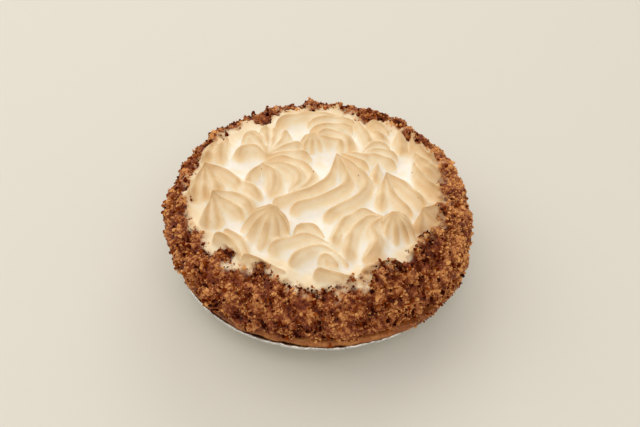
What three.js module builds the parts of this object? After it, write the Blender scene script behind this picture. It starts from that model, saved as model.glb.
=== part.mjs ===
// Lemon meringue pie in its foil tin: a fluted tin, a pastry crust with its filling closed in, and a tall
// meringue whose top is covered with star-piped swirls.
// Sizes are in millimetres. +Z is up, and the origin is the middle of the tin's underside.
import * as THREE from "three";

// The foil tin: a nine inch pan with a rolled bead round its rim.
const FOIL = 0.4;
const TIN_DEPTH = 29;
const TIN_FLOOR_RADIUS = 94;
const TIN_MOUTH_RADIUS = 111.5;
const TIN_RIM_RADIUS = 120;
const TIN_CORNER = 1.6;
const BEAD_RADIUS = 1.3;
const FLUTES = 40;
const FLUTE_DEPTH = 0.35;

// Faces that touch on the real pie keep this much air between them.
const CLEARANCE = 0.3;

// The pastry: it fills the tin and lies over the tin's flange in an uneven rim.
const CRUST_TOP = TIN_DEPTH + 8.2;
const CRUST_LIP = 4.4;
const CRUST_RADIUS = 118.8;
const CRUST_POINTS = 84;

// The meringue: a bulging side under a wide and slightly domed field of swirls.
const FIELD_RADIUS = 101;
const FIELD_EDGE_HEIGHT = 76;
const FIELD_DOME = 3;
const SIDE_RADIUS = 119.5;
const SIDE_HEIGHT = 55;
const SIDE_POINTS = 84;
const SIDE_STEPS = 8;
const FIELD_RINGS = 28;
const SWIRL_FADE = 6;
// The swirls' height is evened out over this circle, because the rings of points lie about as far apart.
const SAMPLES = 8;
const SAMPLE_REACH = 2.2;

// The side hangs out over the tin towards one angle, and takes the pastry's rim part of the way with it.
const OVERHANG = 5;
const OVERHANG_ANGLE = THREE.MathUtils.degToRad(-30);
const OVERHANG_SPREAD = THREE.MathUtils.degToRad(28);
const CRUST_OVERHANG_SHARE = 0.6;

// The piping tip leaves round ridges that run together to a peak. A ridge stands over the field by a base rise
// and a share of its half width, and its flanks flare out into the hollows.
const RIDGE_BASE_RISE = 6.5;
const RIDGE_WIDTH_RISE = 0.8;
const RIDGE_FLARE = 1.7;
const RIDGE_ROUNDNESS = 1.6;
// It starts as a neck of this share of its width, and ends in a round toe this many half widths long.
const RIDGE_NECK = 0.22;
const RIDGE_TOE = 1.4;
const RIDGE_STEPS = 16;
const RIDGE_SECTION_POINTS = 11;

// A drop's grooves cut this share of its radius away between its ridges.
const GROOVE_SHARE = 0.42;
const DROP_LEVELS = 12;
const POINTS_PER_RIDGE = 4;
// A drop starts this far under the field.
const DROP_SINK = 4;

const UP = new THREE.Vector3(0, 0, 1);

// A drop is piped straight down and pulled away: its half width, half length towards the peak, height over the
// field, the middle of its foot, its peak, and how many ridges run down from it.
const drop = (halfWidth, halfLength, rise, foot, peak, ridges) => ({
  halfWidth,
  halfLength,
  rise,
  foot,
  peak,
  ridges,
});

// A swirl is pulled along: its peak with how far it stands over the field, and the ridges that run down from it.
const swirl = (peak, ...ridges) => ridges.map((line) => ({ peak, ...line }));

// A ridge has a half width and a path to its foot.
const ridge = (halfWidth, ...path) => ({ halfWidth, path });

const DROPS = [
  drop(21, 18, 21, [-42, -52], [-36, -43], 9),
  drop(15, 14, 17, [56, -50], [54, -44], 9),
  drop(14, 11, 15, [-6, 46], [-7, 49], 9),
];

const SWIRLS = [
  // The comma in the middle, whose ridges fan down from the peak and sweep round to the left.
  swirl(
    [12, 25, 14],
    ridge(6, [26, 13], [35, -5], [29, -19], [14, -30], [2, -41]),
    ridge(5.5, [18, 10], [20, -4], [10, -15], [-8, -24], [-24, -31]),
    ridge(5, [9, 12], [5, 0], [-7, -12], [-24, -19], [-38, -23]),
  ),
  // The hook, two thick ridges curled round between thinner ones.
  swirl(
    [-47, 15, 12],
    ridge(5, [-55, 5], [-57, -8]),
    ridge(7, [-38, 7], [-36, -6], [-39, -15]),
    ridge(7.5, [-31, 15], [-19, 7], [-17, -5], [-24, -13]),
    ridge(4.5, [-34, 24], [-16, 19], [-7, 5], [-12, -8], [-25, -18]),
  ),
  // The fan at the back left.
  swirl(
    [-43, 27, 10],
    ridge(7.5, [-54, 37], [-63, 35], [-66, 26]),
    ridge(8, [-49, 42], [-57, 53], [-66, 53]),
    ridge(5.5, [-44, 48], [-47, 69]),
    ridge(5, [-39, 47], [-38, 67]),
    ridge(5, [-34, 43], [-28, 62]),
    ridge(5.5, [-31, 37], [-15, 45]),
    ridge(5.5, [-27, 31], [-7, 29]),
  ),
  // The arm of the middle drop at the back.
  swirl(
    [-5, 49, 14],
    ridge(6.5, [5, 57], [16, 54], [22, 45], [23, 35]),
    ridge(6, [5, 46], [14, 45], [18, 36]),
  ),
  // The front: the S and its neighbour, two arches and low strokes along the edge.
  swirl(
    [46, -41, 11],
    ridge(5.5, [31, -36], [18, -44], [11, -58], [8, -68]),
    ridge(5.5, [34, -43], [24, -54], [20, -70], [18, -80]),
    ridge(6.5, [38, -51], [40, -63], [37, -74], [30, -80]),
  ),
  swirl([10, -72, 6], ridge(5.5, [4, -65], [-9, -60], [-25, -63], [-39, -70])),
  swirl([19, -83, 5], ridge(6, [11, -76], [0, -70], [-12, -74], [-23, -82])),
  swirl([12, -84, 4], ridge(7, [4, -79], [-3, -81])),
  swirl([2, -56, 6], ridge(5.5, [-8, -50], [-21, -53])),
  swirl([-58, -76, 4], ridge(4.5, [-66, -63], [-80, -54])),
  swirl([-52, -74, 4], ridge(4.5, [-60, -60], [-73, -50])),
  swirl([-26, -90, 3], ridge(6, [-42, -84], [-58, -78])),
  swirl([30, -98, 3], ridge(6, [13, -95], [-6, -90])),
  swirl(
    [53, -84, 11],
    ridge(5.5, [41, -87], [28, -92]),
    ridge(5.5, [45, -91], [35, -98]),
    ridge(6, [60, -89], [64, -94]),
  ),
  swirl([88, -50, 9], ridge(5.5, [77, -59], [65, -73]), ridge(5.5, [85, -60], [77, -70])),
  // The left side: two tall peaks and their arms.
  swirl(
    [-91, 12, 18],
    ridge(6, [-97, -4], [-98, -17]),
    ridge(5.5, [-90, -4], [-89, -16]),
    ridge(5.5, [-83, 0], [-78, -12]),
    ridge(6, [-79, 10], [-67, 1], [-60, -8]),
  ),
  swirl(
    [-82, -22, 18],
    ridge(5, [-85, -33], [-86, -44]),
    ridge(5, [-79, -34], [-76, -46]),
    ridge(7, [-71, -18], [-58, -24], [-51, -33]),
    ridge(6, [-68, -28], [-58, -37]),
  ),
  swirl([-67, 2, 8], ridge(6, [-56, -7], [-46, -18])),
  swirl([-77, 54, 9], ridge(6, [-81, 40], [-80, 25])),
  swirl([-86, 50, 7], ridge(6, [-90, 38], [-92, 26])),
  // The back: long strokes, and short ridges towards the right.
  swirl([20, 81, 7], ridge(6, [-1, 84], [-26, 78], [-38, 72])),
  swirl([28, 74, 7], ridge(6, [10, 77], [-12, 71])),
  swirl([26, 65, 8], ridge(5.5, [12, 68], [-10, 62])),
  swirl([30, 76, 8], ridge(5.5, [37, 55], [41, 38])),
  swirl([56, 62, 6], ridge(6, [48, 69], [38, 75])),
  swirl([65, 66, 7], ridge(5, [65, 48], [65, 34])),
  swirl(
    [32, 31, 9],
    ridge(6, [44, 42], [57, 40]),
    ridge(6, [47, 34], [62, 29]),
    ridge(5.5, [46, 26], [60, 19]),
  ),
  swirl([45, 20, 9], ridge(5, [43, 8], [41, -3])),
  // The right side.
  swirl([75, 58, 7], ridge(6.5, [80, 38], [90, 24])),
  swirl([75, 33, 8], ridge(8, [83, 18], [95, 8])),
  swirl([73, 20, 12], ridge(5.5, [77, 4], [86, -7], [97, -12])),
  swirl(
    [50, 2, 15],
    ridge(5.5, [47, -14], [45, -29]),
    ridge(5, [53, -14], [61, -27], [68, -35]),
    ridge(6.5, [59, -3], [69, -14], [79, -27]),
  ),
  swirl(
    [75, -36, 15],
    ridge(5, [74, -44], [73, -50]),
    ridge(5.5, [81, -42], [90, -48]),
    ridge(6, [84, -31], [96, -24]),
  ),
  swirl([96, -24, 5], ridge(6, [98, -36], [96, -46])),
];

const point = (radius, angle, height) =>
  new THREE.Vector3(radius * Math.cos(angle), radius * Math.sin(angle), height);

// A level ring of points, counter-clockwise from above. place(angle, index) gives a point's radius and height.
function ring(count, place) {
  return Array.from({ length: count }, (_, i) => {
    const angle = (2 * Math.PI * i) / count;
    const [radius, height] = place(angle, i);
    return point(radius, angle, height);
  });
}

// A solid made of rings, listed from the middle of its underside outwards, up, and in again to its middle.
// Neighbouring rings may have different numbers of points, and a ring of one point is a middle.
function ringSolid(rings) {
  const positions = rings.flat().flatMap((p) => [p.x, p.y, p.z]);
  const index = [];
  let start = 0;
  for (let k = 0; k + 1 < rings.length; k++) {
    const [below, above] = [rings[k].length, rings[k + 1].length];
    const low = (i) => start + (i % below);
    const high = (j) => start + below + (j % above);
    let i = 0;
    let j = 0;
    while ((below > 1 && i < below) || (above > 1 && j < above)) {
      const lowNext = below > 1 ? (i + 1) / below : Infinity;
      const highNext = above > 1 ? (j + 1) / above : Infinity;
      if (lowNext <= highNext) {
        index.push(low(i), low(i + 1), high(j));
        i++;
      } else {
        index.push(low(i), high(j + 1), high(j));
        j++;
      }
    }
    start += below;
  }
  const geometry = new THREE.BufferGeometry();
  geometry.setAttribute("position", new THREE.Float32BufferAttribute(positions, 3));
  geometry.setIndex(index);
  geometry.computeVertexNormals();
  return geometry;
}

// The tin's wall leans out from its floor to its mouth. This is its outer radius at a height.
const tinWall = (height) =>
  TIN_FLOOR_RADIUS + ((TIN_MOUTH_RADIUS - TIN_FLOOR_RADIUS) * height) / TIN_DEPTH;

function foilTin() {
  const beadMiddle = TIN_RIM_RADIUS - BEAD_RADIUS;
  const beadHeight = TIN_DEPTH - 0.2;
  // Each row is a radius, a height and how much of the flutes' depth it has.
  const outside = [
    [TIN_FLOOR_RADIUS - TIN_CORNER, 0, 0],
    [tinWall(TIN_CORNER), TIN_CORNER, 1],
    [tinWall(TIN_DEPTH - TIN_CORNER), TIN_DEPTH - TIN_CORNER, 1],
    [TIN_MOUTH_RADIUS + TIN_CORNER, TIN_DEPTH - FOIL, 0],
    [beadMiddle - BEAD_RADIUS, TIN_DEPTH - FOIL, 0],
  ];
  const bead = [-90, 0, 90].map((degrees) => {
    const angle = THREE.MathUtils.degToRad(degrees);
    return [
      beadMiddle + BEAD_RADIUS * Math.cos(angle),
      beadHeight + BEAD_RADIUS * Math.sin(angle),
      degrees === 0 ? 0.5 : 0,
    ];
  });
  const inside = [
    [beadMiddle - BEAD_RADIUS, TIN_DEPTH, 0],
    [TIN_MOUTH_RADIUS + TIN_CORNER - FOIL, TIN_DEPTH, 0],
    [tinWall(TIN_DEPTH - TIN_CORNER) - FOIL, TIN_DEPTH - TIN_CORNER, 1],
    [tinWall(TIN_CORNER + FOIL) - FOIL, TIN_CORNER + FOIL, 1],
    [TIN_FLOOR_RADIUS - TIN_CORNER - FOIL, FOIL, 0],
  ];
  const rings = [...outside, ...bead, ...inside].map(([radius, height, fluted]) =>
    ring(2 * FLUTES, (_, i) => [radius + (i % 2 ? -1 : 1) * FLUTE_DEPTH * fluted, height]),
  );
  return ringSolid([[point(0, 0, 0)], ...rings, [point(0, 0, FOIL)]]);
}

function overhang(angle) {
  const turn = angle - OVERHANG_ANGLE;
  const away = Math.atan2(Math.sin(turn), Math.cos(turn));
  return OVERHANG * Math.exp(-((away / OVERHANG_SPREAD) ** 2));
}

// How far the pastry's uneven rim reaches: it sits a little to the right and the back in its tin.
const crustEdge = (angle) =>
  CRUST_RADIUS +
  Math.cos(angle - 0.4) +
  0.6 * Math.sin(5 * angle + 1) +
  0.4 * Math.sin(11 * angle) +
  CRUST_OVERHANG_SHARE * overhang(angle);

function pastryCrust() {
  const gap = FLUTE_DEPTH + FOIL + CLEARANCE;
  const floor = FOIL + CLEARANCE;
  const flange = TIN_DEPTH + CLEARANCE;
  const beadInside = TIN_RIM_RADIUS - 2 * BEAD_RADIUS;
  const overBead = TIN_DEPTH + BEAD_RADIUS + CLEARANCE;
  const rows = [
    () => [TIN_FLOOR_RADIUS - TIN_CORNER - gap, floor],
    () => [tinWall(TIN_CORNER + floor) - gap, TIN_CORNER + floor],
    () => [tinWall(TIN_DEPTH - TIN_CORNER) - gap, TIN_DEPTH - TIN_CORNER + CLEARANCE],
    () => [TIN_MOUTH_RADIUS - CLEARANCE, flange],
    () => [beadInside - 1, flange],
    (angle) => [Math.min(crustEdge(angle) - 1, beadInside + 0.2), overBead],
    (angle) => [crustEdge(angle) - 0.6, overBead + 0.6],
    (angle) => [crustEdge(angle), overBead + 2],
    (angle) => [crustEdge(angle) - 0.6, CRUST_TOP - 1.6],
    (angle) => [crustEdge(angle) - 2.6, CRUST_TOP],
  ];
  const rings = rows.map((row) => ring(CRUST_POINTS, row));
  return ringSolid([[point(0, 0, floor)], ...rings, [point(0, 0, CRUST_TOP)]]);
}

// The bare field under the swirls.
const fieldHeight = (radius) =>
  FIELD_EDGE_HEIGHT + FIELD_DOME * (1 - Math.min(1, radius / FIELD_RADIUS) ** 2);

// A skin of rings that a ray from above can meet.
function skin(rings) {
  const surface = new THREE.Mesh(ringSolid(rings), new THREE.MeshBasicMaterial({ side: THREE.DoubleSide }));
  surface.updateMatrixWorld();
  return surface;
}

// A ridge's bell-shaped section follows its path from the peak down to a round foot.
function ridgeSurface({ peak, halfWidth, path }) {
  const corners = [peak, ...path].map(([x, y]) => new THREE.Vector3(x, y, 0));
  const curve = new THREE.CatmullRomCurve3(corners, false, "catmullrom", 0.5);
  const body = RIDGE_BASE_RISE + RIDGE_WIDTH_RISE * halfWidth;
  const peakRise = peak[2];
  const rings = [];
  for (let step = 0; step <= RIDGE_STEPS; step++) {
    const along = THREE.MathUtils.clamp(step / RIDGE_STEPS, 0.002, 0.998);
    const toe = Math.min(1, ((1 - along) * curve.getLength()) / (RIDGE_TOE * halfWidth));
    const fullness = Math.sqrt(1 - (1 - toe) ** 2);
    const widening = THREE.MathUtils.lerp(RIDGE_NECK, 1, THREE.MathUtils.smoothstep(along, -0.05, 0.45));
    const reach = RIDGE_FLARE * halfWidth * widening * fullness;
    const rise = (body + (peakRise - body) * (1 - along) ** 2.5) * fullness;
    const at = curve.getPointAt(along);
    const foot = fieldHeight(Math.hypot(at.x, at.y)) - 1;
    const sideways = curve.getTangentAt(along).cross(UP).normalize();
    const section = Array.from({ length: RIDGE_SECTION_POINTS }, (_, i) => {
      const across = 1 - (2 * i) / (RIDGE_SECTION_POINTS - 1);
      const bell = Math.max(0, Math.cos((across * Math.PI) / 2)) ** RIDGE_ROUNDNESS;
      return at
        .clone()
        .addScaledVector(sideways, reach * across)
        .setZ(foot + (rise + 1) * bell);
    });
    rings.push(section);
  }
  return skin(rings);
}

// A drop is a ridged dome that leans towards its peak.
function dropSurface({ halfWidth, halfLength, rise, foot, peak, ridges }) {
  const start = new THREE.Vector3(...foot, 0);
  const lean = new THREE.Vector3(...peak, 0).sub(start);
  const ahead = lean.clone().normalize();
  const aside = ahead.clone().cross(UP);
  const base = fieldHeight(start.length()) - DROP_SINK;
  const rings = [];
  for (let level = 0; level <= DROP_LEVELS; level++) {
    const share = level / DROP_LEVELS;
    const dome = Math.sqrt(1 - 0.98 * share ** 1.7);
    const tip = 1 - 0.25 * THREE.MathUtils.smoothstep(share, 0.75, 1);
    const middle = start.clone().addScaledVector(lean, share ** 1.4);
    middle.z = base + (rise + DROP_SINK) * share;
    const count = ridges * POINTS_PER_RIDGE;
    const round = Array.from({ length: count }, (_, i) => {
      const turn = (2 * Math.PI * i) / count;
      const groove = 1 - Math.abs(Math.cos((ridges * turn) / 2)) ** 0.8;
      const reach = dome * tip * (1 - GROOVE_SHARE * groove);
      return middle
        .clone()
        .addScaledVector(ahead, reach * halfLength * Math.cos(turn))
        .addScaledVector(aside, reach * halfWidth * Math.sin(turn));
    });
    rings.push(round);
  }
  rings.push([new THREE.Vector3(...peak, base + rise + DROP_SINK + 1)]);
  return skin(rings);
}

// The field with its swirls, seen from above: the highest surface counts, evened out over a small circle round
// each point, and the swirls die away towards the edge of the field.
function fieldRings() {
  const surfaces = [...DROPS.map(dropSurface), ...SWIRLS.flat().map(ridgeSurface)];
  const ray = new THREE.Raycaster();
  const sky = 2 * FIELD_EDGE_HEIGHT;
  const highest = (place) => {
    ray.set(place.clone().setZ(sky), UP.clone().negate());
    const [top] = ray.intersectObjects(surfaces, false);
    const bare = fieldHeight(Math.hypot(place.x, place.y));
    return top ? Math.max(bare, top.point.z) : bare;
  };
  const circle = [new THREE.Vector3(), ...ring(SAMPLES, () => [SAMPLE_REACH, 0])];
  const height = (radius, angle) => {
    const middle = point(radius, angle, 0);
    const heights = circle.map((offset) => highest(middle.clone().add(offset)));
    const piped = heights.reduce((sum, one) => sum + one, 0) / heights.length;
    const bare = fieldHeight(radius);
    const share = Math.min(1, (FIELD_RADIUS - radius) / SWIRL_FADE);
    return bare + (piped - bare) * share;
  };
  const rings = [];
  for (let k = FIELD_RINGS; k > 0; k--) {
    const radius = (FIELD_RADIUS * k) / FIELD_RINGS;
    rings.push(ring(6 * k, (angle) => [radius, height(radius, angle)]));
  }
  rings.push([point(0, 0, height(0, 0))]);
  return rings;
}

// The meringue's side bulges over the crust, most of all at its overhang, and is lumpy.
function sideRing(share) {
  const foot = CRUST_TOP + CLEARANCE;
  const slope = THREE.MathUtils.degToRad(-90 + 180 * share);
  const fullness = Math.max(0, Math.cos(slope)) ** (slope < 0 ? 0.8 : 1);
  const rise = slope < 0 ? SIDE_HEIGHT - foot : FIELD_EDGE_HEIGHT - SIDE_HEIGHT;
  return ring(SIDE_POINTS, (angle) => {
    const bulge = SIDE_RADIUS - 2.2 * Math.cos(angle) + 0.9 * Math.sin(3 * angle + 4 * share);
    const lumps = 0.8 * Math.sin(9 * angle + 7 * share) + 0.6 * Math.sin(14 * angle - 9 * share);
    const start = slope < 0 ? crustEdge(angle) - CRUST_LIP : FIELD_RADIUS;
    const reach = bulge + lumps + overhang(angle);
    return [start + (reach - start) * fullness, SIDE_HEIGHT + rise * Math.sin(slope)];
  });
}

function meringue() {
  const side = Array.from({ length: SIDE_STEPS }, (_, i) => sideRing(i / SIDE_STEPS));
  return ringSolid([[point(0, 0, CRUST_TOP + CLEARANCE)], ...side, ...fieldRings()]);
}

const pie = new THREE.Group();

function addPart(name, geometry, colour, roughness, metalness) {
  const material = new THREE.MeshStandardMaterial({ color: colour, roughness, metalness });
  const mesh = new THREE.Mesh(geometry, material);
  mesh.name = name;
  pie.add(mesh);
}

addPart("foil_tin", foilTin(), 0xc8c8c4, 0.3, 1);
addPart("pastry_crust", pastryCrust(), 0xb87a3e, 0.8, 0);
addPart("meringue", meringue(), 0xf2dcb4, 0.6, 0);

export default pie;
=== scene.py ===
"""A lemon meringue pie in its foil tin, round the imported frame: piped swirls, a crumb coat, pastry and foil.

Lengths in the tables are in millimetres, in the frame's own axes, and become metres when a mesh is made.
"""

import math

import bmesh
import bpy
import numpy as np
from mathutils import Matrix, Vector


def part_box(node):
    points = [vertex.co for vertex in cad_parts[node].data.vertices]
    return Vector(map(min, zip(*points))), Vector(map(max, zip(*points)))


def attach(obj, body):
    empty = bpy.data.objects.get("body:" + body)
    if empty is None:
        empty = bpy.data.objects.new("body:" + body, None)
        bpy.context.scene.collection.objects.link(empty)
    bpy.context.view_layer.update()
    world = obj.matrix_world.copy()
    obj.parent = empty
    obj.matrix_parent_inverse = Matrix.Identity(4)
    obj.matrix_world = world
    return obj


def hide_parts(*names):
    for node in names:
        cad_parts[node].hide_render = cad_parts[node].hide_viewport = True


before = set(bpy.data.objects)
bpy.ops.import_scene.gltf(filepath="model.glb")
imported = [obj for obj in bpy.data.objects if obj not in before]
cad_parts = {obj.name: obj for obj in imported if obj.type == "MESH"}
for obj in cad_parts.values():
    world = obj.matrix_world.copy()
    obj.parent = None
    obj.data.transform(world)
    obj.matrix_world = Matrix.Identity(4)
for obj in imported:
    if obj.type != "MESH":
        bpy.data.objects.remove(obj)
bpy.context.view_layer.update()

MM = 0.001
SEED = 20


def box_mm(node):
    """A node's lowest and highest corners, in millimetres."""
    low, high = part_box(node)
    return np.array(low) / MM, np.array(high) / MM


tin_low, tin_high = box_mm("foil_tin")
crust_top_corner = box_mm("pastry_crust")[1]

# The tin, from its box.
RIM_RADIUS = (tin_high[0] - tin_low[0]) / 2
BEAD_RADIUS = 1.3
TIN_DEPTH = tin_high[2] - 1.1
FLOOR_RADIUS = RIM_RADIUS - 26
MOUTH_RADIUS = RIM_RADIUS - 8.5
FOIL = 0.4
FLUTES = 84
FLUTE_DEPTH = 0.55
FLOOR_BEND = 2
TIN_COLUMNS = 1000

# The pastry and the meringue.
CRUST_TOP = crust_top_corner[2]
CRUST_RADIUS = 119.2
CRUST_LIP = 4.4
CRUST_ROUNDING = 2.6
CRUST_COLUMNS = 720
FIELD_RADIUS = 101
FIELD_EDGE_HEIGHT = 76
FIELD_DOME = 3
SIDE_RADIUS = 119.5
SIDE_HEIGHT = 55

# The crumb coat's upper edge in the field, and the tongues of crumbs that reach further in: the angle in
# degrees, the reach and the half width in degrees.
COAT_EDGE = 101
COAT_TONGUES = [
    (-136, 5, 4),
    (-114, 8, 12),
    (-43, 2, 8),
    (-2, 5, 5),
    (32, 4, 8),
    (68, 11, 6),
    (119, 12, 4),
]

# How far the coated side hangs out over the tin at the front right.
OVERHANG = 5
OVERHANG_ANGLE = math.radians(-38)
OVERHANG_SPREAD = math.radians(22)
CRUST_OVERHANG_SHARE = 0.6

# The piping tip leaves round ridges that run together to a peak. A ridge stands over the field by a base rise
# and a share of its half width, and its flanks flare out into the hollows.
RIDGE_BASE_RISE = 6.5
RIDGE_WIDTH_RISE = 0.8
FLARE = 1.7
TOOTH_WIDTH = 4.6
TOOTH_DEPTH = 0.45
GROOVE_SHARE = 0.42

# The swirls and the mound are remeshed into one skin of cells this wide, and then this share of it is kept.
CELL = 0.8
KEPT_SHARE = 0.44

# How deep the solids that make up the swirls reach into the mound: ridges and drops.
RIDGE_SKIRT = 8
DROP_SKIRT = 4

# The crumbs: name, count, size, spread of the sizes, fineness of a crumb's mesh and how pale.
CRUMB_KINDS = [
    ("crumbs_coarse", 1100, 2.9, 0.22, 2, 0.3),
    ("crumbs_medium", 2400, 2.0, 0.2, 2, 0.42),
    ("crumbs_fine", 9900, 1.35, 0.25, 1, 0.56),
]
CRUMB_SHAPES = 16
CRUMB_CUTS = 7
TONE_SPREAD = 0.27
STRAY_WEIGHT = 0.0006

# The stage, in metres and watts, but for the floor. Each light has its place, its size, its power and its
# colour, and faces the pie.
LIGHTS = {
    "key": ((-1.0, 0.4, 1.5), (1.8, 1.8), 10, (1.0, 0.97, 0.93)),
    "rear": ((0.5, 2.2, 1.6), (2.2, 1.2), 16, (1.0, 0.98, 0.95)),
    "front": ((0.3, -1.3, 1.9), (1.8, 1.2), 10, (1.0, 0.98, 0.95)),
}
SKY_COLOUR = (1.0, 0.97, 0.93, 1)
SKY_STRENGTH = 0.56
FLOOR_HALF = 4000
CAMERA_PLACE = (-0.0010, -0.5058, 0.5552)
CAMERA_TILT = math.radians(45)
CAMERA_LENS = 50

# Drops, piped straight down and pulled away: half width, half length towards the peak, height over the field,
# the middle of the foot, the peak, and how many ridges run down from it.
DROPS = [
    (21, 18, 21, (-42, -52), (-36, -43), 9),
    (15, 14, 17, (56, -50), (54, -44), 9),
    (14, 11, 15, (-6, 46), (-7, 49), 9),
]

# Swirls, pulled along: the peak, how far it stands over the field, and the ridges that run down from it, each
# with its half width and its path to the foot.
SWIRLS = [
    # The comma in the middle, whose ridges fan down from the peak and sweep round to the left.
    (
        (12, 25, 14),
        (6, (26, 13), (35, -5), (29, -19), (14, -30), (2, -41)),
        (5.5, (18, 10), (20, -4), (10, -15), (-8, -24), (-24, -31)),
        (5, (9, 12), (5, 0), (-7, -12), (-24, -19), (-38, -23)),
    ),
    # The hook, two thick ridges curled round between thinner ones.
    (
        (-47, 15, 12),
        (5, (-55, 5), (-57, -8)),
        (7, (-38, 7), (-36, -6), (-39, -15)),
        (7.5, (-31, 15), (-19, 7), (-17, -5), (-24, -13)),
        (4.5, (-34, 24), (-16, 19), (-7, 5), (-12, -8), (-25, -18)),
    ),
    # The fan at the back left.
    (
        (-43, 27, 10),
        (7.5, (-54, 37), (-63, 35), (-66, 26)),
        (8, (-49, 42), (-57, 53), (-66, 53)),
        (6, (-44, 35), (-42, 45)),
        (5.5, (-44, 48), (-47, 69)),
        (5, (-39, 47), (-38, 67)),
        (5, (-34, 43), (-28, 62)),
        (5.5, (-31, 37), (-15, 45)),
        (5.5, (-27, 31), (-7, 29)),
    ),
    # The arm of the middle drop at the back.
    ((-5, 49, 14), (6.5, (5, 57), (16, 54), (22, 45), (23, 35)), (6, (5, 46), (14, 45), (18, 36))),
    # The front: the S and its neighbour, two arches and low strokes along the edge.
    (
        (46, -41, 11),
        (5.5, (31, -36), (18, -44), (11, -58), (8, -68)),
        (5.5, (34, -43), (24, -54), (20, -70), (18, -80)),
        (6.5, (38, -51), (40, -63), (37, -74), (30, -80)),
    ),
    ((10, -72, 6), (5.5, (4, -65), (-9, -60), (-25, -63), (-39, -70))),
    ((19, -83, 5), (6, (11, -76), (0, -70), (-12, -74), (-23, -82))),
    ((12, -84, 4), (7, (4, -79), (-3, -81))),
    ((2, -56, 6), (5.5, (-8, -50), (-21, -53))),
    ((-58, -76, 4), (4.5, (-66, -63), (-80, -54))),
    ((-52, -74, 4), (4.5, (-60, -60), (-73, -50))),
    ((-26, -88, 3), (4, (-42, -82), (-58, -76))),
    ((30, -98, 3), (4.5, (13, -95), (-6, -90))),
    ((53, -84, 11), (5.5, (41, -87), (28, -92)), (5.5, (45, -91), (35, -98)), (6, (60, -89), (64, -94))),
    ((88, -50, 9), (5.5, (77, -59), (65, -73)), (5.5, (85, -60), (77, -70))),
    # The left side: two tall peaks and their arms.
    (
        (-91, 12, 18),
        (6, (-97, -4), (-98, -17)),
        (5.5, (-90, -4), (-89, -16)),
        (5.5, (-83, 0), (-78, -12)),
        (6, (-79, 10), (-67, 1), (-60, -8)),
    ),
    (
        (-82, -22, 18),
        (5, (-85, -33), (-86, -44)),
        (5, (-79, -34), (-76, -46)),
        (7, (-71, -18), (-58, -24), (-51, -33)),
        (6, (-68, -28), (-58, -37)),
    ),
    ((-67, 2, 8), (6, (-56, -7), (-46, -18))),
    ((-77, 54, 9), (6, (-81, 40), (-80, 25))),
    ((-86, 50, 7), (6, (-90, 38), (-92, 26))),
    # The back: long strokes, and short ridges towards the right.
    ((20, 81, 7), (6, (-1, 84), (-26, 78), (-38, 72))),
    ((28, 74, 7), (6, (10, 77), (-12, 71))),
    ((26, 65, 8), (5.5, (12, 68), (-10, 62))),
    ((30, 76, 8), (5.5, (37, 55), (41, 38))),
    ((56, 62, 6), (6, (48, 69), (38, 75))),
    ((65, 66, 7), (5, (65, 48), (65, 34))),
    ((16, 30, 10), (5, (29, 21), (38, 17)), (5, (31, 28), (42, 27))),
    ((40, 62, 6), (6, (47, 55), (52, 47))),
    ((32, 31, 9), (6, (44, 42), (57, 40)), (6, (47, 34), (62, 29)), (5.5, (46, 26), (60, 19))),
    ((45, 20, 9), (5, (43, 8), (41, -3))),
    # The right side.
    ((75, 58, 7), (6.5, (80, 38), (90, 24))),
    ((75, 33, 8), (8, (83, 18), (95, 8))),
    ((73, 20, 12), (5.5, (77, 4), (86, -7), (97, -12))),
    (
        (50, 2, 15),
        (5.5, (47, -14), (45, -29)),
        (5, (53, -14), (61, -27), (68, -35)),
        (6.5, (59, -3), (69, -14), (79, -27)),
    ),
    ((75, -36, 15), (5, (74, -44), (73, -50)), (5.5, (81, -42), (90, -48)), (6, (84, -31), (96, -24))),
    ((96, -24, 5), (6, (98, -36), (96, -46))),
]


# ---------------------------------------------------------------- meshes


def new_object(name, verts, faces, smooth=True):
    """A mesh object from points in millimetres."""
    mesh = bpy.data.meshes.new(name)
    mesh.from_pydata((np.asarray(verts) * MM).tolist(), [], faces)
    mesh.update()
    mesh.shade_smooth() if smooth else mesh.shade_flat()
    obj = bpy.data.objects.new(name, mesh)
    bpy.context.scene.collection.objects.link(obj)
    return obj


def grid_faces(rows, cols):
    """Quads between rows of points that close on themselves."""
    here = np.arange(rows * cols).reshape(rows, cols)
    nxt = np.roll(here, -1, axis=1)
    return np.stack([here[:-1], nxt[:-1], nxt[1:], here[1:]], -1).reshape(-1, 4)


def closed_rows(rings, first, last):
    """Points and faces of a solid whose rings are closed by a middle point at each end."""
    rows, cols = rings.shape[:2]
    points = np.concatenate([rings.reshape(-1, 3), [first, last]])
    here = np.arange(cols)
    nxt = np.roll(here, -1)
    top = (rows - 1) * cols
    bottom_fan = np.stack([np.full(cols, rows * cols), nxt, here], -1)
    top_fan = np.stack([top + here, top + nxt, np.full(cols, rows * cols + 1)], -1)
    return points, grid_faces(rows, cols).tolist() + bottom_fan.tolist() + top_fan.tolist()


def lengths(rows):
    """Each row's length, as a column."""
    return np.linalg.norm(rows, axis=1)[:, None]


def waves(points, size, seed, count=28):
    """A smooth random field of about unit height whose lumps are about size across, in millimetres."""
    rng = np.random.default_rng(seed)
    ways = rng.normal(size=(count, 3))
    ways *= (2 * math.pi / size) * rng.uniform(0.6, 1.4, (count, 1)) / lengths(ways)
    phases = rng.uniform(0, 2 * math.pi, count)
    return np.sin(points @ ways.T + phases).sum(axis=1) * math.sqrt(2 / count)


def smoothstep(x, low, high):
    """Rises smoothly from 0 at low to 1 at high."""
    t = np.clip((x - low) / (high - low), 0, 1)
    return t * t * (3 - 2 * t)


# ---------------------------------------------------------------- meringue


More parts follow.
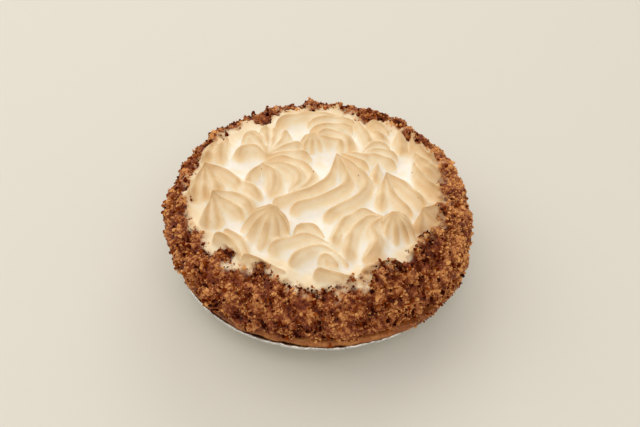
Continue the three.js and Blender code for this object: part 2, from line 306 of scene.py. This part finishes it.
def crust_edge(angle):
    """How far the pastry's rim reaches from the tin's axis."""
    even = CRUST_RADIUS + 0.7 * np.cos(angle - 0.4) + 0.6 * np.sin(5 * angle + 1) + 0.4 * np.sin(11 * angle)
    return even + CRUST_OVERHANG_SHARE * overhang(angle)


def overhang(angle):
    """How far the side hangs out at an angle."""
    away = np.angle(np.exp(1j * (angle - OVERHANG_ANGLE)))
    return OVERHANG * np.exp(-((away / OVERHANG_SPREAD) ** 2))


def coat_edge(angle):
    """The radius where the white field ends and the crumbs begin."""
    edge = COAT_EDGE - 4.5 * np.cos(angle) - 1 * np.cos(2 * angle)
    for middle, reach, spread in COAT_TONGUES:
        away = np.degrees(np.angle(np.exp(1j * (angle - math.radians(middle)))))
        edge -= reach * np.exp(-((away / spread) ** 2))
    return edge


def field_height(x, y):
    """The height of the slightly domed field that the swirls stand on."""
    radius = np.minimum(1, np.hypot(x, y) / FIELD_RADIUS)
    return FIELD_EDGE_HEIGHT + FIELD_DOME * (1 - radius**2)


def spline(path, count):
    """Points at even steps along a smooth curve through the path's points."""
    path = np.array(path, float)
    ends = np.concatenate([[2 * path[0] - path[1]], path, [2 * path[-1] - path[-2]]])
    t = np.linspace(0, 1, 24, endpoint=False)[:, None]
    parts = []
    for a, b, c, d in zip(ends, ends[1:], ends[2:], ends[3:]):
        square = (2 * a - 5 * b + 4 * c - d) * t**2
        cube = (3 * b - a - 3 * c + d) * t**3
        parts.append(0.5 * (2 * b + (c - a) * t + square + cube))
    fine = np.concatenate([*parts, path[-1:]])
    length = np.concatenate([[0], np.cumsum(np.linalg.norm(np.diff(fine, axis=0), axis=1))])
    at = np.linspace(0, length[-1], count)
    return np.stack([np.interp(at, length, fine[:, k]) for k in (0, 1)], -1), length[-1]


def ridge_mesh(peak, half_width, *path):
    """One round ridge of a swirl, from the peak down to its foot, with a skirt that goes into the mound."""
    steps, around = 56, 41
    line, length = spline([peak[:2], *path], steps)
    along = np.linspace(0.002, 0.998, steps)
    toe = np.minimum(1, (1 - along) * length / (1.4 * half_width))
    fullness = np.sqrt(1 - (1 - toe) ** 2)
    width = half_width * (0.22 + 0.78 * smoothstep(along, -0.05, 0.45)) * fullness
    field = field_height(line[:, 0], line[:, 1])
    body = RIDGE_BASE_RISE + RIDGE_WIDTH_RISE * half_width
    rise = (body + (peak[2] - body) * (1 - along) ** 2.5) * fullness
    tangent = np.gradient(line, axis=0)
    tangent /= lengths(tangent)
    aside = np.column_stack([tangent[:, 1], -tangent[:, 0]])
    across = np.linspace(1, -1, around)
    bell = np.cos(across * math.pi / 2) ** 1.6
    reach = FLARE * width[:, None] * np.concatenate([across, [-1, 1]])
    flat = line[:, None, :] + reach[..., None] * aside[:, None, :]
    teeth = TOOTH_DEPTH * np.cos(2 * math.pi * FLARE * half_width / TOOTH_WIDTH * across) * bell**0.5
    level = field[:, None] - 1 + (rise[:, None] + 1) * bell + fullness[:, None] * teeth
    bottom = np.broadcast_to(field[:, None] - RIDGE_SKIRT, (steps, 2))
    rings = np.concatenate([flat, np.concatenate([level, bottom], axis=1)[..., None]], axis=2)
    return closed_rows(rings, rings[0].mean(axis=0), rings[-1].mean(axis=0))


def drop_mesh(half_width, half_length, height, foot, peak, ridges):
    """One piped drop: a ridged dome that leans towards its pointed peak."""
    levels, around = 40, ridges * 10
    foot, peak = np.array(foot, float), np.array(peak, float)
    ahead = (peak - foot) / np.linalg.norm(peak - foot)
    aside = np.array([ahead[1], -ahead[0]])
    share = np.linspace(0, 1, levels)
    reach = np.sqrt(1 - 0.98 * share**1.7) * (1 - 0.25 * smoothstep(share, 0.75, 1))
    reach *= 1 - 0.35 * np.maximum(0, 0.25 - share)
    middle = foot + (share**1.4)[:, None] * (peak - foot)
    turn = np.arange(around) * 2 * math.pi / around
    lobes = 1 - GROOVE_SHARE * (1 - np.abs(np.cos(ridges * turn / 2)) ** 0.8)
    out = reach[:, None] * lobes[None, :]
    flat = middle[:, None, :] + (out * half_length * np.cos(turn))[..., None] * ahead
    flat = flat + (out * half_width * np.sin(turn))[..., None] * aside
    base = field_height(*foot) - DROP_SKIRT
    level = np.broadcast_to((base + (height + DROP_SKIRT) * share)[:, None, None], (levels, around, 1))
    rings = np.concatenate([flat, level], axis=2)
    return closed_rows(rings, (*foot, base), (*peak, base + height + DROP_SKIRT + 1))


def mound_mesh():
    """The mound under the swirls: a bulging side and a slightly domed field."""
    angles = np.linspace(0, 2 * math.pi, 480, endpoint=False)
    foot = CRUST_TOP + 0.3
    rings = []
    for share in np.linspace(0, 1, 60):
        slope = math.radians(-90 + 180 * share)
        fullness = math.cos(slope) ** (0.8 if slope < 0 else 1)
        rise = SIDE_HEIGHT - foot if slope < 0 else FIELD_EDGE_HEIGHT - SIDE_HEIGHT
        bulge = SIDE_RADIUS - 3.4 * np.cos(angles) + 0.9 * np.sin(3 * angles + 4 * share)
        bulge += 0.8 * np.sin(9 * angles + 7 * share) + 0.6 * np.sin(14 * angles - 9 * share)
        bulge += overhang(angles)
        start = crust_edge(angles) - CRUST_LIP if slope < 0 else FIELD_RADIUS
        radius = start + (bulge - start) * fullness
        height = np.full_like(angles, SIDE_HEIGHT + rise * math.sin(slope))
        rings.append(np.stack([radius * np.cos(angles), radius * np.sin(angles), height], -1))
    for share in np.linspace(1, 0, 30, endpoint=False)[1:]:
        radius = FIELD_RADIUS * share
        x, y = radius * np.cos(angles), radius * np.sin(angles)
        rings.append(np.stack([x, y, field_height(x, y)], -1))
    return closed_rows(np.array(rings), (0, 0, foot), (0, 0, field_height(0, 0)))


def joined(parts):
    """Points and faces of several solids as one list each."""
    points, faces, start = [], [], 0
    for part_points, part_faces in parts:
        points.append(part_points)
        faces += [[start + i for i in face] for face in part_faces]
        start += len(part_points)
    return np.concatenate(points), faces


def applied(obj, name, *settings):
    """A new object with modifiers applied. Each setting is a modifier's type and its values."""
    for kind, values in settings:
        modifier = obj.modifiers.new(kind.lower(), kind)
        for key, value in values.items():
            setattr(modifier, key, value)
    depsgraph = bpy.context.evaluated_depsgraph_get()
    mesh = bpy.data.meshes.new_from_object(obj.evaluated_get(depsgraph))
    mesh.name = name
    done = bpy.data.objects.new(name, mesh)
    bpy.context.scene.collection.objects.link(done)
    old = obj.data
    bpy.data.objects.remove(obj)
    bpy.data.meshes.remove(old)
    return done


def points_of(mesh):
    """A mesh's points, in millimetres."""
    flat = np.empty(3 * len(mesh.vertices))
    mesh.vertices.foreach_get("co", flat)
    return flat.reshape(-1, 3) / MM


def set_points(mesh, points):
    mesh.vertices.foreach_set("co", (points * MM).ravel())
    mesh.update()


def edges_of(mesh):
    flat = np.empty(2 * len(mesh.edges), int)
    mesh.edges.foreach_get("vertices", flat)
    return flat.reshape(-1, 2)


def smoothed(values, edges, rounds, factor=0.5):
    """Rows of values, one for each point, drawn towards the mean of the point's neighbours."""
    count = np.bincount(edges.ravel(), minlength=len(values))[:, None]
    for _ in range(rounds):
        total = np.zeros_like(values)
        for k in range(values.shape[1]):
            total[:, k] = np.bincount(edges[:, 0], values[edges[:, 1], k], len(values))
            total[:, k] += np.bincount(edges[:, 1], values[edges[:, 0], k], len(values))
        values = values + factor * (total / count - values)
    return values


def toast_of(points, edges, normals):
    """How brown the oven left each point: swirls and their crests stand in the heat, pits stay white."""
    near = smoothed(points, edges, 20)
    wide = smoothed(near, edges, 80)
    crest = ((points - near) * normals).sum(axis=1)
    field = field_height(points[:, 0], points[:, 1])
    standing = smoothstep(wide[:, 2] - field, 0, 10)
    tall = np.clip(points[:, 2] - field - 8, 0, 14)
    back = smoothstep(points[:, 1], 0, 90)
    toast = 0.03 + 0.25 * standing + 0.7 * np.clip(crest, -0.08, 0.5) + 0.027 * tall + 0.04 * back
    return smoothed(toast[:, None], edges, 3)[:, 0]


def store(mesh, name, values):
    """Keeps a value for each point, for a material to read."""
    attribute = mesh.attributes.new(name, "FLOAT", "POINT")
    attribute.data.foreach_set("value", np.asarray(values, dtype=np.float32))


def normals_of(mesh):
    flat = np.empty(3 * len(mesh.vertices))
    mesh.vertices.foreach_get("normal", flat)
    return flat.reshape(-1, 3)


def coat_relief(points):
    """Furrows that run up the coated side, and the lumps between them."""
    furrows = waves(points * (1, 1, 0.3), 13, SEED + 4)
    return 1.2 * furrows + 0.7 * waves(points, 7, SEED + 5) + 0.35 * waves(points, 3, SEED + 6)


def clumps_and_furrow_shade(points):
    """Where the crumbs lie darker: in random dark clumps, and in the furrows of the coat, where the darkening
    is painted shade.
    """
    clumps = 0.8 * waves(points * (1, 1, 0.6), 11, SEED + 10) + waves(points, 4.5, SEED + 11)
    # The furrow term is painted shade: the lower the coat's relief, the darker the crumbs.
    return clumps - 0.4 * coat_relief(points)


def outer_skin(bm):
    """Deletes the bubbles that the remesh can leave inside the mound."""
    waiting = [min(bm.verts, key=lambda vert: vert.co.z)]
    reached = set(waiting)
    while waiting:
        vert = waiting.pop()
        for edge in vert.link_edges:
            other = edge.other_vert(vert)
            if other not in reached:
                reached.add(other)
                waiting.append(other)
    bmesh.ops.delete(bm, geom=[vert for vert in bm.verts if vert not in reached], context="VERTS")


def close_base(mesh):
    """Makes the flat underside of the remeshed mound one fan, because nothing of it shows."""
    bm = bmesh.new()
    bm.from_mesh(mesh)
    outer_skin(bm)
    lowest = min(vert.co.z for vert in bm.verts)
    base = [face for face in bm.faces if max(vert.co.z for vert in face.verts) < lowest + CELL / 2 * MM]
    bmesh.ops.delete(bm, geom=base, context="FACES")
    fill = bmesh.ops.holes_fill(bm, edges=[edge for edge in bm.edges if edge.is_boundary])
    bmesh.ops.poke(bm, faces=fill["faces"])
    bm.to_mesh(mesh)
    bm.free()


def meringue_piece():
    """The mound with its swirls as one skin, and how far each point lies in the crumb coat."""
    parts = [mound_mesh()] + [drop_mesh(*row) for row in DROPS]
    parts += [ridge_mesh(peak, *ridge) for peak, *ridges in SWIRLS for ridge in ridges]
    rough = new_object("rough", *joined(parts))
    piece = applied(rough, "swirls", ("REMESH", {"mode": "VOXEL", "voxel_size": CELL * MM}))
    mesh = piece.data
    close_base(mesh)
    edges = edges_of(mesh)
    points = smoothed(points_of(mesh), edges, 2)
    on_top = smoothstep(points[:, 2], SIDE_HEIGHT, FIELD_EDGE_HEIGHT)
    points[:, 2] += 0.6 * waves(points, 17, SEED + 3) * on_top
    set_points(mesh, points)
    toast = toast_of(points, edges, normals_of(mesh))
    angle = np.arctan2(points[:, 1], points[:, 0])
    inside = np.hypot(points[:, 0], points[:, 1]) - coat_edge(angle)
    inside += 2.2 * waves(points, 20, SEED + 1) + 1.2 * waves(points, 6, SEED + 2)
    below = points[:, 2] < FIELD_EDGE_HEIGHT - 8
    toast += 0.34 * smoothstep(inside, -24, 1)
    coat = np.where(below, 1, smoothstep(inside, -4, 0))
    dusted = np.where(below, 1, smoothstep(inside, -2, 4))
    above_foot = smoothstep(points[:, 2], CRUST_TOP, CRUST_TOP + 4)
    set_points(mesh, points + (coat * coat_relief(points) * above_foot)[:, None] * normals_of(mesh))
    store(mesh, "toast", toast)
    store(mesh, "coat", dusted)
    # The dust's tone darkens in clumps, and in the coat's furrows as painted shade.
    store(mesh, "tone", 0.5 - 0.12 * clumps_and_furrow_shade(points))
    mesh.shade_smooth()
    return piece, coat


# ---------------------------------------------------------------- crumbs


def crumb_shapes(subdivisions, count, rng):
    """Irregular crumbs of unit size, all with the same triangles."""
    bm = bmesh.new()
    bmesh.ops.create_icosphere(bm, subdivisions=subdivisions, radius=0.5)
    points = np.array([v.co for v in bm.verts])
    faces = np.array([[v.index for v in f.verts] for f in bm.faces])
    bm.free()
    shapes = []
    for _ in range(count):
        cuts = rng.normal(size=(CRUMB_CUTS, 3))
        cuts /= lengths(cuts)
        depth = rng.uniform(0.2, 0.42, CRUMB_CUTS)
        shape = points.copy()
        for cut, limit in zip(cuts, depth):
            over = np.maximum(0, shape @ cut - limit)
            shape -= over[:, None] * cut
        shape *= 1 + rng.normal(0, 0.06, (len(points), 1))
        shapes.append(shape * (1.1, rng.uniform(0.75, 1), rng.uniform(0.6, 0.85)))
    return np.array(shapes), faces


def turns(count, rng):
    """Random rotations."""
    q = rng.normal(size=(count, 4))
    w, x, y, z = (q / lengths(q)).T
    return np.array(
        [
            [1 - 2 * (y * y + z * z), 2 * (x * y - z * w), 2 * (x * z + y * w)],
            [2 * (x * y + z * w), 1 - 2 * (x * x + z * z), 2 * (y * z - x * w)],
            [2 * (x * z - y * w), 2 * (y * z + x * w), 1 - 2 * (x * x + y * y)],
        ]
    ).transpose(2, 0, 1)


def crumb_piece(name, spots, outward, sizes, tones, subdivisions, rng):
    """Crumbs joined into one mesh, each on its own spot of the coat."""
    shapes, faces = crumb_shapes(subdivisions, CRUMB_SHAPES, rng)
    shape = shapes[rng.integers(0, len(shapes), len(spots))]
    points = np.einsum("nij,nvj->nvi", turns(len(spots), rng), shape) * sizes[:, None, None]
    points += (spots + outward * (sizes * rng.uniform(-0.1, 0.35, len(spots)))[:, None])[:, None, :]
    count = shape.shape[1]
    all_faces = faces[None] + (np.arange(len(spots)) * count)[:, None, None]
    piece = new_object(name, points.reshape(-1, 3), all_faces.reshape(-1, 3).tolist(), smooth=False)
    store(piece.data, "tone", np.repeat(tones, count))
    return piece


def crumbed_surface(meringue, coat, crust):
    """The points that crumbs lie on, their normals and how thick the coat is.

    The coat runs on over the pastry's rim where the side hangs out, and a few crumbs lie on the rest of it.
    """
    rim = points_of(crust.data)
    angle = np.arctan2(rim[:, 1], rim[:, 0])
    hanging = smoothstep(overhang(angle), 0.25 * OVERHANG, 0.75 * OVERHANG)
    outside = smoothstep(np.hypot(rim[:, 0], rim[:, 1]) - crust_edge(angle), -6, -4)
    outside *= rim[:, 2] > TIN_DEPTH + 1
    on_rim = outside * (0.08 + 0.7 * hanging)
    on_side = coat**2 * smoothstep(points_of(meringue.data)[:, 2], CRUST_TOP - 1, CRUST_TOP + 3)
    points = np.concatenate([points_of(meringue.data), rim])
    outward = np.concatenate([normals_of(meringue.data), normals_of(crust.data)])
    return points, outward, np.concatenate([on_side, on_rim])


def crumb_pieces(meringue, coat, crust):
    """The coat in three sizes of crumb, thicker in clumps, with a few strays on the white."""
    rng = np.random.default_rng(SEED + 7)
    points, outward, thick = crumbed_surface(meringue, coat, crust)
    clump = waves(points, 14, SEED + 8) + 0.7 * waves(points, 6, SEED + 9)
    dark = clumps_and_furrow_shade(points)
    pale = 0.06 + 0.12 * smoothstep(-points[:, 0], 60, 115) + 0.3 * (1 - thick)
    pale += 0.6 * smoothstep(points[:, 0], 60, 115) * smoothstep(points[:, 1], -75, -45)
    weight = thick * np.clip(1 + 0.5 * clump, 0.08, None)
    stray = (points[:, 2] > FIELD_EDGE_HEIGHT - 6) * STRAY_WEIGHT
    pieces = []
    for name, count, size, spread, subdivisions, tone in CRUMB_KINDS:
        chance = weight + (stray if name == "crumbs_fine" else 0)
        spot = rng.choice(len(points), count, replace=False, p=chance / chance.sum())
        sizes = size * np.exp(rng.normal(0, spread, count))
        # dark holds the random dark clumps and the painted shade in the coat's furrows.
        tones = np.clip(tone + pale[spot] - 0.2 * dark[spot] + rng.normal(0, TONE_SPREAD, count), 0, 1)
        pieces.append(crumb_piece(name, points[spot], outward[spot], sizes, tones, subdivisions, rng))
    return pieces


# ---------------------------------------------------------------- pastry and tin


def turned(profile, count, shape):
    """The rings of a profile that goes round the axis. shape gets their angles, radii and heights to move."""
    angles = np.linspace(0, 2 * math.pi, count, endpoint=False)
    rows = []
    for radius, height in profile:
        r, z = shape(angles, np.full(count, float(radius)), np.full(count, float(height)))
        rows.append(np.stack([r * np.cos(angles), r * np.sin(angles), z], -1))
    return np.array(rows)


def looped_rows(rings):
    """Points and faces of a solid whose last ring joins the first."""
    rows, cols = rings.shape[:2]
    return rings.reshape(-1, 3), (grid_faces(rows + 1, cols) % (rows * cols)).tolist()


def arc(middle, radius, start, end, count):
    """Points of a profile along a part of a circle, between two angles in degrees."""
    angles = np.radians(np.linspace(start, end, count))
    return [(middle[0] + radius * math.cos(a), middle[1] + radius * math.sin(a)) for a in angles]


def crust_piece():
    """The pastry's rim: a rough, baked lip that lies on the tin's flange and runs in under the meringue."""
    lip = CRUST_ROUNDING
    rise = CRUST_TOP - TIN_DEPTH - 1.5
    profile = arc((-lip, lip), lip, -90, -10, 8) + arc((-lip + 0.4, rise - lip), lip, 5, 90, 9)
    profile += [(-9, rise), (-16, rise), (-16, 0.2), (-9, 0)]

    def shape(angles, radius, height):
        reach = crust_edge(angles) + radius
        place = np.stack([reach * np.cos(angles), reach * np.sin(angles), height], -1)
        rough = 0.55 * waves(place, 16, SEED + 12) + 0.25 * waves(place, 4, SEED + 13)
        lift = 0.1 + 0.5 * waves(place * (1, 1, 0), 55, SEED + 14)
        rough = np.where(radius > -6, rough, 0)
        return reach + rough, TIN_DEPTH + 0.6 + np.clip(lift, 0, 1.4) + height + 0.6 * rough

    return new_object("crust_rim", *looped_rows(turned(profile, CRUST_COLUMNS, shape)))


def tin_piece():
    """The foil tin: a flat floor, a fluted wall, a crimped flange and a rolled bead."""
    bead = BEAD_RADIUS
    rim = RIM_RADIUS - bead
    top = TIN_DEPTH
    flat = FLOOR_RADIUS - FLOOR_BEND
    outer = [(0.5, 0), (FLOOR_RADIUS * 0.5, 0), (flat, 0)]
    outer += arc((flat, FLOOR_BEND), FLOOR_BEND, -80, -20, 5)
    shares = np.linspace(0.05, 0.97, 14)
    slant = MOUTH_RADIUS - FLOOR_RADIUS
    wall = [(FLOOR_RADIUS + slant * t, FLOOR_BEND + (top - FLOOR_BEND - 1) * t) for t in shares]
    under = [(MOUTH_RADIUS + 1.2, top - FOIL), (rim - bead, top - FOIL)]
    roll = arc((rim, top), bead, 200, 500, 14)
    over = [(rim - bead, top), (MOUTH_RADIUS + 1.2, top)]
    inner_wall = [(r - FOIL, z + 0.1) for r, z in reversed(wall)]
    inner = [(flat, FOIL), (FLOOR_RADIUS * 0.5, FOIL), (0.5, FOIL)]

    def shape(angles, radius, height):
        on_wall = smoothstep(height, 1.5, 5) * (1 - smoothstep(height, top - 4, top - 1))
        on_wall *= radius > FLOOR_RADIUS - 3
        flute = FLUTE_DEPTH * np.sin(FLUTES * angles) * on_wall
        on_rim = smoothstep(radius, MOUTH_RADIUS + 1, rim)
        crimp = 0.16 * np.sin(150 * angles) + 0.12 * np.sin(97 * angles + 1)
        place = np.stack([radius * np.cos(angles), radius * np.sin(angles), height], -1)
        dent = 0.25 * waves(place, 24, SEED + 15) + 0.2 * waves(place, 6, SEED + 16)
        return radius + flute + on_rim * crimp, height + on_rim * (0.7 * crimp + dent)

    profile = outer + wall + under + roll + over + inner_wall + inner
    return new_object("foil_pan", *closed_rows(turned(profile, TIN_COLUMNS, shape), (0, 0, 0), (0, 0, FOIL)))


# ---------------------------------------------------------------- looks


class Nodes:
    """A short way to write a node tree."""

    def __init__(self, name):
        self.material = bpy.data.materials.new(name)
        self.material.use_nodes = True
        self.tree = self.material.node_tree
        self.shader = self.tree.nodes["Principled BSDF"]

    def add(self, kind, values=(), **settings):
        node = self.tree.nodes.new(kind)
        for key, value in settings.items():
            setattr(node, key, value)
        for key, value in dict(values).items():
            if isinstance(value, bpy.types.NodeSocket):
                self.tree.links.new(value, node.inputs[key])
            else:
                node.inputs[key].default_value = value
        return node

    def link(self, output, key):
        self.tree.links.new(output, self.shader.inputs[key])

    def ramp(self, value, *stops):
        node = self.add("ShaderNodeValToRGB", {"Fac": value})
        while len(node.color_ramp.elements) < len(stops):
            node.color_ramp.elements.new(0.5)
        for element, (at, colour) in zip(node.color_ramp.elements, stops):
            element.position = at
            element.color = (*colour, 1)
        return node.outputs["Color"]

    def noise(self, size, detail=4, roughness=0.6):
        place = self.add("ShaderNodeTexCoord").outputs["Object"]
        node = self.add(
            "ShaderNodeTexNoise",
            {"Vector": place, "Scale": 1 / (size * MM), "Detail": detail, "Roughness": roughness},
        )
        return node.outputs["Fac"]

    def math(self, operation, a, b, c=0.0, clamp=False):
        node = self.add("ShaderNodeMath", {0: a, 1: b, 2: c}, operation=operation, use_clamp=clamp)
        return node.outputs[0]

    def mix(self, share, a, b):
        node = self.add("ShaderNodeMix", {0: share, 6: a, 7: b}, data_type="RGBA")
        return node.outputs[2]

    def attribute(self, name):
        return self.add("ShaderNodeAttribute", attribute_name=name).outputs["Fac"]

    def bump(self, height, distance, strength=1.0):
        node = self.add("ShaderNodeBump", {"Height": height, "Distance": distance * MM, "Strength": strength})
        self.link(node.outputs["Normal"], "Normal")


def srgb(red, green, blue):
    """A screen colour of 0 to 255 as linear light."""
    def one(value):
        value = value / 255
        return value / 12.92 if value <= 0.04045 else ((value + 0.055) / 1.055) ** 2.4
    return tuple(one(v) for v in (red, green, blue))


def meringue_material():
    """White hollows, tan crests, and crumb dust where the coat lies."""
    n = Nodes("meringue")
    proud = n.attribute("toast")
    mottled = n.math("MULTIPLY_ADD", n.noise(9, 3), 0.3, -0.15)
    share = n.math("ADD", proud, mottled, clamp=True)
    top = n.ramp(
        share,
        (0.0, srgb(255, 251, 242)),
        (0.22, srgb(251, 233, 201)),
        (0.55, srgb(236, 204, 157)),
        (1.0, srgb(204, 160, 106)),
    )
    grains = n.math("MULTIPLY_ADD", n.noise(1.7, 5, 0.75), 2.2, -1.1)
    dust = n.ramp(
        n.math("ADD", n.attribute("tone"), grains, clamp=True),
        (0.0, srgb(66, 10, 0)),
        (0.5, srgb(136, 58, 12)),
        (1.0, srgb(228, 158, 92)),
    )
    n.link(n.mix(n.attribute("coat"), top, dust), "Base Color")
    n.shader.inputs["Roughness"].default_value = 0.6
    n.shader.inputs["Specular IOR Level"].default_value = 0.3
    n.shader.inputs["Subsurface Weight"].default_value = 0.2
    n.shader.inputs["Subsurface Radius"].default_value = (1.0, 0.8, 0.6)
    n.shader.inputs["Subsurface Scale"].default_value = 2 * MM
    n.bump(n.noise(1.2, 3), 0.1, 0.5)
    return n.material


def crumb_material():
    """Toasted crumbs, dark to pale by each crumb's tone."""
    n = Nodes("crumbs")
    grain = n.math("MULTIPLY_ADD", n.noise(0.9, 3), 0.5, -0.25)
    share = n.math("ADD", n.attribute("tone"), grain, clamp=True)
    colour = n.ramp(
        share,
        (0.0, srgb(46, 4, 0)),
        (0.35, srgb(106, 32, 0)),
        (0.65, srgb(156, 76, 18)),
        (1.0, srgb(238, 174, 106)),
    )
    n.link(colour, "Base Color")
    n.shader.inputs["Roughness"].default_value = 0.75
    n.shader.inputs["Specular IOR Level"].default_value = 0.05
    n.bump(n.noise(0.5, 2), 0.15, 0.7)
    return n.material


def pastry_material():
    """Baked pastry, browned in patches."""
    n = Nodes("pastry")
    patches = n.noise(16, 5, 0.6)
    specks = n.math("MULTIPLY_ADD", n.noise(1.6, 4), 0.5, -0.25)
    browned = n.math("ADD", patches, specks, clamp=True)
    colour = n.ramp(
        browned,
        (0.3, srgb(104, 44, 8)),
        (0.5, srgb(164, 92, 34)),
        (0.72, srgb(206, 138, 70)),
    )
    n.link(colour, "Base Color")
    n.shader.inputs["Roughness"].default_value = 0.6
    n.bump(n.noise(1.1, 4), 0.3, 0.8)
    return n.material


def foil_material():
    """Bright foil, uneven in tone and slightly crinkled."""
    n = Nodes("foil")
    n.link(n.ramp(n.noise(14, 3), (0.3, (0.52, 0.51, 0.47)), (0.7, (0.8, 0.79, 0.73))), "Base Color")
    n.shader.inputs["Metallic"].default_value = 1.0
    n.shader.inputs["Roughness"].default_value = 0.3
    n.bump(n.noise(6, 3), 0.25, 0.5)
    return n.material


def settle(piece, material, slot, *nodes):
    """Gives a piece its material and its body, and hides the CAD nodes that it stands for."""
    piece.data.materials.append(material)
    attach(piece, "root")
    if nodes:
        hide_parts(*nodes)


meringue, coat = meringue_piece()
crust = crust_piece()
crumbs = crumb_material()
for piece in crumb_pieces(meringue, coat, crust):
    settle(piece, crumbs, "pastry")
meringue = applied(meringue, "meringue_swirls", ("DECIMATE", {"ratio": KEPT_SHARE}))
settle(meringue, meringue_material(), "meringue", "meringue")
settle(crust, pastry_material(), "pastry", "pastry_crust")
settle(tin_piece(), foil_material(), "foil", "foil_tin")


# ---------------------------------------------------------------- stage


def area_light(name, place, size, power, colour):
    """A rectangular light that faces the pie."""
    data = bpy.data.lights.new(name, "AREA")
    data.shape = "RECTANGLE"
    data.size, data.size_y = size
    data.energy = power
    data.color = colour
    light = bpy.data.objects.new(name, data)
    light.location = place
    light.rotation_euler = (-Vector(place)).to_track_quat("-Z", "Y").to_euler()
    bpy.context.scene.collection.objects.link(light)


def stage():
    """The floor, the lights and the sky."""
    corners = np.array([(-1, -1, 0), (1, -1, 0), (1, 1, 0), (-1, 1, 0)])
    floor = new_object("floor", corners * FLOOR_HALF, [(0, 1, 2, 3)])
    n = Nodes("floor")
    n.shader.inputs["Base Color"].default_value = (*srgb(229, 224, 212), 1)
    n.shader.inputs["Roughness"].default_value = 0.8
    floor.data.materials.append(n.material)
    for name, row in LIGHTS.items():
        area_light(name, *row)
    world = bpy.data.worlds.new("world")
    bpy.context.scene.world = world
    world.use_nodes = True
    sky = world.node_tree.nodes["Background"]
    sky.inputs["Color"].default_value = SKY_COLOUR
    sky.inputs["Strength"].default_value = SKY_STRENGTH


def camera():
    """The camera, which looks down on the pie from the front."""
    data = bpy.data.cameras.new("camera")
    data.lens = CAMERA_LENS
    data.sensor_width = 36
    data.clip_start = 0.01
    viewer = bpy.data.objects.new("camera", data)
    viewer.location = CAMERA_PLACE
    viewer.rotation_euler = (CAMERA_TILT, 0, 0)
    bpy.context.scene.collection.objects.link(viewer)
    bpy.context.scene.camera = viewer


camera()
stage()
bpy.context.scene.view_settings.view_transform = "Standard"
